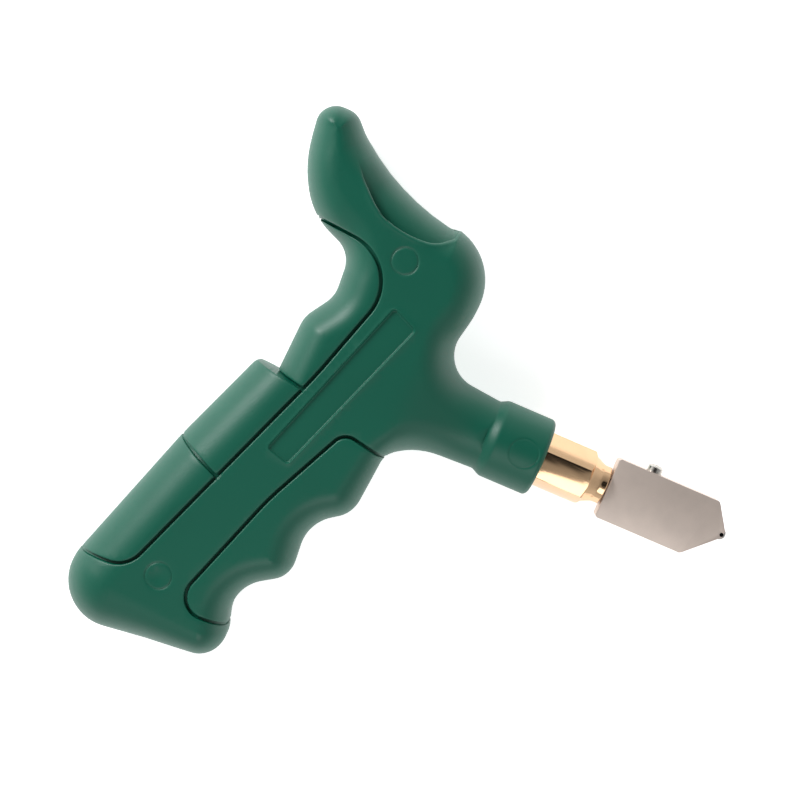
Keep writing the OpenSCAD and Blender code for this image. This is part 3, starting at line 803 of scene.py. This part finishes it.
def light_tent():
    """A white tent round the object: bright at the horizon, with a dark port for the camera above."""
    world = bpy.data.worlds.new("light_tent")
    world.use_nodes = True
    tree = world.node_tree
    way = add(tree, "ShaderNodeTexCoord").outputs["Generated"]
    height = add(tree, "ShaderNodeSeparateXYZ", [("Vector", way)]).outputs["Z"]
    toward_port = add(tree, "ShaderNodeVectorMath", [("Vector", way)], operation="DOT_PRODUCT")
    toward_port.inputs[1].default_value = (-0.075, 0.175, 0.982)
    wall = add(tree, "ShaderNodeMapRange", [("Value", height)], interpolation_type="SMOOTHSTEP",
               From_Min=0.15, From_Max=0.8, To_Min=0.72, To_Max=0.34)
    port = add(tree, "ShaderNodeMapRange", [("Value", toward_port.outputs["Value"])],
               interpolation_type="SMOOTHSTEP", From_Min=0.88, From_Max=0.91, To_Min=1.0, To_Max=0.05)
    light = add(tree, "ShaderNodeMath", operation="MULTIPLY")
    tree.links.new(light.inputs[0], wall.outputs["Result"])
    tree.links.new(light.inputs[1], port.outputs["Result"])
    tree.links.new(tree.nodes["Background"].inputs["Strength"], light.outputs[0])
    tree.nodes["Background"].inputs["Color"].default_value = (1, 1, 1, 1)
    return world


MATERIALS = {}


def materials():
    """Makes each material once."""
    if not MATERIALS:
        c = bpy.context.scene.cutter_colours
        MATERIALS.update(
            plastic=spark_textured_plastic(tuple(c.plastic)),
            # Drawn and turned brass: polished flats with faint lines along the bar
            brass=metal("turned_brass", tuple(c.brass), 0.13, 6.0, 0.12, 0.04, 0.001),
            # Ground tool steel, tumbled: warm grey with an even satin grain
            steel=metal("satin_tool_steel", tuple(c.steel), 0.58, 0.35, 0.25, 0.08, 0.006),
            # Nickel-plated screws: bright, with soft reflections
            nickel=metal("nickel_plated_steel", tuple(c.nickel), 0.22, 0.4, 0.4, 0.06, 0.002),
            zinc=metal("zinc_plated_steel", linear("#b9b8b4"), 0.3, 0.4, 0.4, 0.08, 0.002),
            # Blackened axle pin
            black=metal("blackened_steel", linear("#17171a"), 0.45, 0.3, 0.3, 0.05, 0.002),
            # Sintered carbide wheel with ground flanks
            carbide=metal("ground_carbide", linear("#a7a5a2"), 0.28, 0.2, 0.05, 0.06, 0.002),
        )
    return MATERIALS


# ------------ screws by rule


def screw_rule():
    """A node group that sets a threaded screw on each point: the head below it, the tip above."""
    tree = bpy.data.node_groups.new("threaded_screw", "GeometryNodeTree")
    sockets = tree.interface
    sockets.new_socket("Geometry", in_out="INPUT", socket_type="NodeSocketGeometry")
    for name, value in SHELL_SCREW.items():
        socket = sockets.new_socket(name, in_out="INPUT", socket_type="NodeSocketFloat")
        socket.default_value = value * MM
    sockets.new_socket("Tilt", in_out="INPUT", socket_type="NodeSocketVector")
    sockets.new_socket("Material", in_out="INPUT", socket_type="NodeSocketMaterial")
    sockets.new_socket("Geometry", in_out="OUTPUT", socket_type="NodeSocketGeometry")
    given = add(tree, "NodeGroupInput").outputs

    def maths(operation, a, b):
        node = tree.nodes.new("ShaderNodeMath")
        node.operation = operation
        for socket, value in zip(node.inputs, (a, b)):
            if isinstance(value, (int, float)):
                socket.default_value = value
            else:
                tree.links.new(socket, value)
        return node.outputs[0]

    def moved(mesh, z):
        offset = add(tree, "ShaderNodeCombineXYZ", [("Z", z)]).outputs[0]
        return add(tree, "GeometryNodeTransform", [("Geometry", mesh), ("Translation", offset)]).outputs[0]

    core = maths("MULTIPLY", given["Thread radius"], 0.8)
    shank = add(tree, "GeometryNodeMeshCylinder", [
        ("Radius", core), ("Depth", given["Length"])], Vertices=32)
    shank = moved(shank.outputs["Mesh"], maths("MULTIPLY", given["Length"], 0.5))
    # The thread is a three-sided bar wound along the shank
    ridge = maths("MULTIPLY", given["Thread radius"], 0.16)
    wound = maths("MULTIPLY", given["Thread radius"], 0.84)
    run = maths("SUBTRACT", given["Length"], given["Pitch"])
    spiral = add(tree, "GeometryNodeCurveSpiral", [
        ("Rotations", maths("DIVIDE", run, given["Pitch"])), ("Start Radius", wound),
        ("End Radius", wound), ("Height", run)], Resolution=28)
    bar = add(tree, "GeometryNodeCurvePrimitiveCircle", [("Radius", ridge)], Resolution=3)
    thread = add(tree, "GeometryNodeCurveToMesh", [
        ("Curve", spiral.outputs[0]), ("Profile Curve", bar.outputs[0])], Fill_Caps=True)
    thread = moved(thread.outputs[0], maths("MULTIPLY", given["Pitch"], 0.5))
    # The head is a round blank, domed by a ball, with a cross cut into it
    blank = add(tree, "GeometryNodeMeshCylinder", [
        ("Radius", given["Head radius"]), ("Depth", given["Head height"])], Vertices=48)
    half_down = maths("MULTIPLY", given["Head height"], -0.5)
    ball = add(tree, "GeometryNodeMeshUVSphere", [
        ("Radius", given["Crown radius"])], Segments=48, Rings=32)
    dome = add(tree, "GeometryNodeMeshBoolean", operation="INTERSECT", solver="EXACT")
    tree.links.new(dome.inputs["Mesh 2"], moved(blank.outputs["Mesh"], half_down))
    tree.links.new(dome.inputs["Mesh 2"], moved(ball.outputs["Mesh"], maths("MULTIPLY", half_down, -0.35)))
    cross = add(tree, "GeometryNodeMeshBoolean", [("Mesh 1", dome.outputs[0])],
                operation="DIFFERENCE", solver="EXACT")
    long = maths("MULTIPLY", given["Head radius"], 1.05)
    for x, y in ((long, given["Recess width"]), (given["Recess width"], long)):
        size = add(tree, "ShaderNodeCombineXYZ", [("X", x), ("Y", y), ("Z", given["Head height"])])
        cube = add(tree, "GeometryNodeMeshCube", [("Size", size.outputs[0])])
        tree.links.new(cross.inputs["Mesh 2"],
                       moved(cube.outputs["Mesh"], maths("MULTIPLY", given["Head height"], -1.0)))
    screw = add(tree, "GeometryNodeJoinGeometry")
    for mesh in (shank, thread, cross.outputs[0]):
        tree.links.new(screw.inputs[0], mesh)
    placed = add(tree, "GeometryNodeInstanceOnPoints", [
        ("Points", given["Geometry"]), ("Instance", screw.outputs[0]), ("Rotation", given["Tilt"])])
    real = add(tree, "GeometryNodeRealizeInstances", [("Geometry", placed.outputs[0])])
    painted = add(tree, "GeometryNodeSetMaterial", [
        ("Geometry", real.outputs[0]), ("Material", given["Material"])])
    add(tree, "NodeGroupOutput", [("Geometry", painted.outputs[0])])
    return tree


def ruled_mesh(name, rule, points, values):
    """The mesh that a node group makes from points, with its named inputs set."""
    mesh = bpy.data.meshes.new(name + "_points")
    mesh.from_pydata([tuple(ORIGIN + np.array(p) * MM) for p in points], [], [])
    base = bpy.data.objects.new(name + "_rule", mesh)
    bpy.context.scene.collection.objects.link(base)
    modifier = base.modifiers.new("rule", "NODES")
    modifier.node_group = rule
    for item in rule.interface.items_tree:
        if item.in_out == "INPUT" and item.name in values:
            modifier[item.identifier] = values[item.name]
    made = bpy.data.meshes.new_from_object(base.evaluated_get(bpy.context.evaluated_depsgraph_get()))
    bpy.data.objects.remove(base)
    bpy.data.meshes.remove(mesh)
    made.name = name
    return made


# ------------ operators

PLAN = {}


def plan():
    """The handle's plan, made once."""
    if "handle" not in PLAN:
        PLAN["handle"] = Handle(bpy.context.scene.cutter_sizes)
    return PLAN["handle"]


class CUTTER_OT_shells(bpy.types.Operator):
    """Build the two moulded halves of the handle"""

    bl_idname = "cutter.shells"
    bl_label = "Handle shells"

    def execute(self, context):
        for side, node in ((1, "right_shell"), (-1, "left_shell")):
            solid = shell_solid(plan(), side)
            well = (COLLAR_BOSS_X, 0, -COLLAR_R - 2, -COLLAR_SEAT_Z, WELL_R)
            bore = (COLLAR_BOSS_X, 0, -COLLAR_SEAT_Z - 0.5, COLLAR_TIP_Z, BORE_R)
            holes = [well, bore] if side < 0 else [bore]
            bm = bmesh.new()
            bm.from_mesh(mesh_from("side", solid.places, solid.faces))
            bm.from_mesh(drilled(mesh_from("collar", *collar_half(side)), holes))
            mesh = bpy.data.meshes.new(node + "_moulding")
            bm.to_mesh(mesh)
            bm.free()
            finish_piece(node + "_moulding", mesh, materials()["plastic"], "handle", [node])
        return {"FINISHED"}


class CUTTER_OT_inserts(bpy.types.Operator):
    """Build the four grip inserts"""

    bl_idname = "cutter.inserts"
    bl_label = "Grip inserts"

    def execute(self, context):
        for part, node in (("upper", "upper_back_insert"), ("middle", "middle_back_insert"),
                           ("lower", "lower_back_insert"), ("finger", "finger_insert")):
            solid = insert_solid(plan(), part)
            mesh = mesh_from(node + "_moulding", solid.places, solid.faces)
            finish_piece(node + "_moulding", mesh, materials()["plastic"], "handle", [node])
        return {"FINISHED"}


class CUTTER_OT_metalwork(bpy.types.Operator):
    """Build the brass holder, the spindle, the steel head, its axle and its wheel"""

    bl_idname = "cutter.metalwork"
    bl_label = "Holder and head"

    def execute(self, context):
        m, edge = materials(), context.scene.cutter_sizes.edge_break
        brass = finer_node("brass_holder_turned", "brass_holder", m["brass"], "handle", 0.12)
        crowned_brass(brass.data)
        finer_node("swivel_spindle_pin", "swivel_spindle", m["steel"], "handle")
        finer_node("steel_head", "head_body", m["steel"], "head", edge)
        finer_node("wheel_axle_pin", "wheel_axle", m["black"], "head", 0.06)
        finer_node("cutting_wheel_ground", "cutting_wheel", m["carbide"], "wheel")
        return {"FINISHED"}


class CUTTER_OT_screws(bpy.types.Operator):
    """Build the shell screws and the lock screw"""

    bl_idname = "cutter.screws"
    bl_label = "Screws"

    def execute(self, context):
        m, rule = materials(), screw_rule()
        grip = SHELL_SCREW | {"Length": GRIP_SEAT_Z + GRIP_TIP_Z}
        collar = SHELL_SCREW | {"Length": COLLAR_SEAT_Z + COLLAR_TIP_Z}
        for name, node, body, slot, paint, points, sizes, tilt in (
                ("grip_screws_set", "grip_screws", "handle", "zinc_steel", m["zinc"],
                 [(*b, -GRIP_SEAT_Z) for b in GRIP_BOSSES], grip, 0.0),
                ("collar_screw_set", "collar_screw", "handle", "zinc_steel", m["zinc"],
                 [(COLLAR_BOSS_X, 0.0, -COLLAR_SEAT_Z)], collar, 0.0),
                ("lock_screw_pan", "lock_screw", "lock_screw", "nickel_steel", m["nickel"],
                 [(LOCK_X, HEAD_W / 2 + 0.05, 0.0)], LOCK_SCREW, math.pi / 2)):
            values = {key: size * MM for key, size in sizes.items()}
            mesh = ruled_mesh(name, rule, points, values | {"Tilt": (tilt, 0.0, 0.0), "Material": paint})
            finish_piece(name, mesh, paint, body, [node], 30.0)
        return {"FINISHED"}


class CUTTER_OT_stage(bpy.types.Operator):
    """Lay the floor, and set the lights and the camera"""

    bl_idname = "cutter.stage"
    bl_label = "Studio"

    def execute(self, context):
        scene = context.scene
        size = 3.0
        mesh = bpy.data.meshes.new("studio_floor")
        corners = [(-size, -size, 0), (size, -size, 0), (size, size, 0), (-size, size, 0)]
        mesh.from_pydata(corners, [], [(0, 1, 2, 3)])
        mesh.materials.append(floor_paint(tuple(scene.cutter_colours.floor)))
        floor = bpy.data.objects.new("studio_floor", mesh)
        scene.collection.objects.link(floor)

        # The camera's own right and up directions, and where it looks
        right, up = Vector((0.9185, 0.3955, 0)), Vector((-0.3955, 0.9185, 0))
        target = Vector((-14.5, 9.8, ORIGIN[2] / MM)) * MM
        tilt, distance = math.radians(4), 0.5
        back = Vector((0, 0, 1)) * math.cos(tilt) + up * math.sin(tilt)
        camera = bpy.data.objects.new("camera", bpy.data.cameras.new("camera"))
        camera.data.lens, camera.data.sensor_width = 90, 36
        camera.data.clip_start = 0.01
        turn = Matrix((right, back.cross(right), back)).transposed().to_4x4()
        camera.matrix_world = Matrix.Translation(target + back * distance) @ turn
        scene.collection.objects.link(camera)
        scene.camera = camera

        scene.world = light_tent()
        scene.view_settings.view_transform = "Standard"
        for name, along, height, width, power in (
                ("key_softbox", up * 0.5 - right * 0.45, 0.36, 0.3, 4.4),
                ("low_softbox", -up * 0.5, 0.6, 0.4, 1.1)):
            lamp = bpy.data.lights.new(name, "AREA")
            lamp.size, lamp.energy = width, power
            light = bpy.data.objects.new(name, lamp)
            light.location = target + along + Vector((0, 0, height))
            light.rotation_euler = (light.location - target).to_track_quat("Z", "Y").to_euler()
            scene.collection.objects.link(light)
        return {"FINISHED"}


class CUTTER_PT_panel(bpy.types.Panel):
    """Shows the glass cutter's sizes and colours, and the buttons that build its pieces"""

    bl_idname = "CUTTER_PT_panel"
    bl_label = "Glass cutter"
    bl_space_type = "VIEW_3D"
    bl_region_type = "UI"
    bl_category = "Glass cutter"

    def draw(self, context):
        for group in (context.scene.cutter_sizes, context.scene.cutter_colours):
            for name in group.bl_rna.properties.keys():
                if name not in ("rna_type", "name"):
                    self.layout.prop(group, name)
        for operator in OPERATORS:
            self.layout.operator(operator.bl_idname)


OPERATORS = (CUTTER_OT_shells, CUTTER_OT_inserts, CUTTER_OT_metalwork, CUTTER_OT_screws, CUTTER_OT_stage)
CLASSES = (CutterSizes, CutterColours, *OPERATORS, CUTTER_PT_panel)


def register():
    for cls in CLASSES:
        bpy.utils.register_class(cls)
    bpy.types.Scene.cutter_sizes = bpy.props.PointerProperty(type=CutterSizes)
    bpy.types.Scene.cutter_colours = bpy.props.PointerProperty(type=CutterColours)


def unregister():
    del bpy.types.Scene.cutter_colours
    del bpy.types.Scene.cutter_sizes
    for cls in reversed(CLASSES):
        bpy.utils.unregister_class(cls)


def main():
    register()
    bpy.ops.cutter.shells()
    bpy.ops.cutter.inserts()
    bpy.ops.cutter.metalwork()
    bpy.ops.cutter.screws()
    bpy.ops.cutter.stage()


if __name__ == "__main__":
    main()
